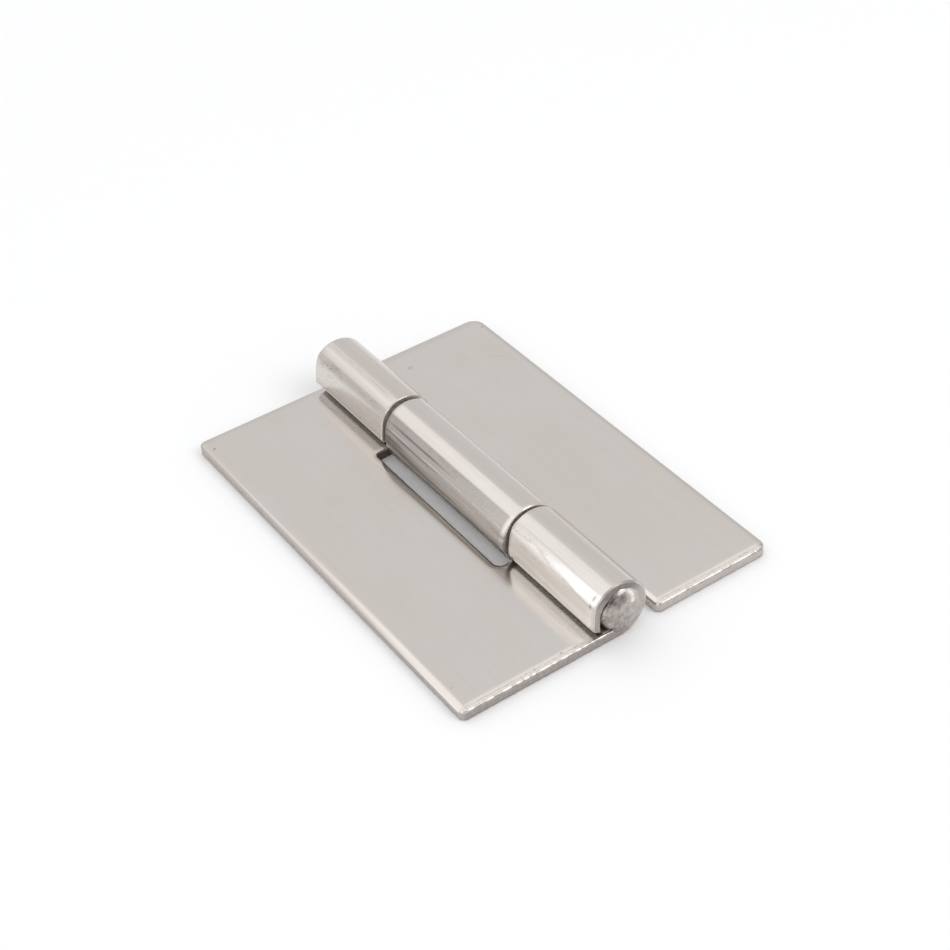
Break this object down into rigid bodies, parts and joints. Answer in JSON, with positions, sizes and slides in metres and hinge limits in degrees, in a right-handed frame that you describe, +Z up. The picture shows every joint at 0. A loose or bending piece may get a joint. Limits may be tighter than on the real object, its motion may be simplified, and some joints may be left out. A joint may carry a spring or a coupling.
{
  "type": "weld-on butt hinge",
  "caption": "Plain steel butt hinge with two undrilled leaves, rolled knuckles and a welded solid pin, lying open.",
  "frame": {"origin": "under the pin axis, at mid-length, on the plane that both leaves rest on", "axes": "+X from the pin towards the right leaf, +Y along the pin towards the rear end, +Z up out of the leaves, towards the barrel"},
  "size_m": [0.0725, 0.102, 0.0133],
  "materials": {
    "leaf_steel": "satin polished stainless steel",
    "pin_steel": "turned stainless steel",
    "weld_metal": "dressed weld bead"
  },
  "bodies": {
    "left_leaf_with_pin": {"left_leaf": "leaf_steel", "hinge_pin": "pin_steel", "front_weld": "weld_metal", "rear_weld": "weld_metal"},
    "right_leaf_swing": {"right_leaf": "leaf_steel"}
  },
  "joints": [
    {"name": "leaf_hinge", "type": "hinge", "parent": "left_leaf_with_pin", "child": "right_leaf_swing", "pos_m": [0, 0, 0.00665], "axis": [0, -1, 0], "range_deg": [-98, 190]}
  ]
}
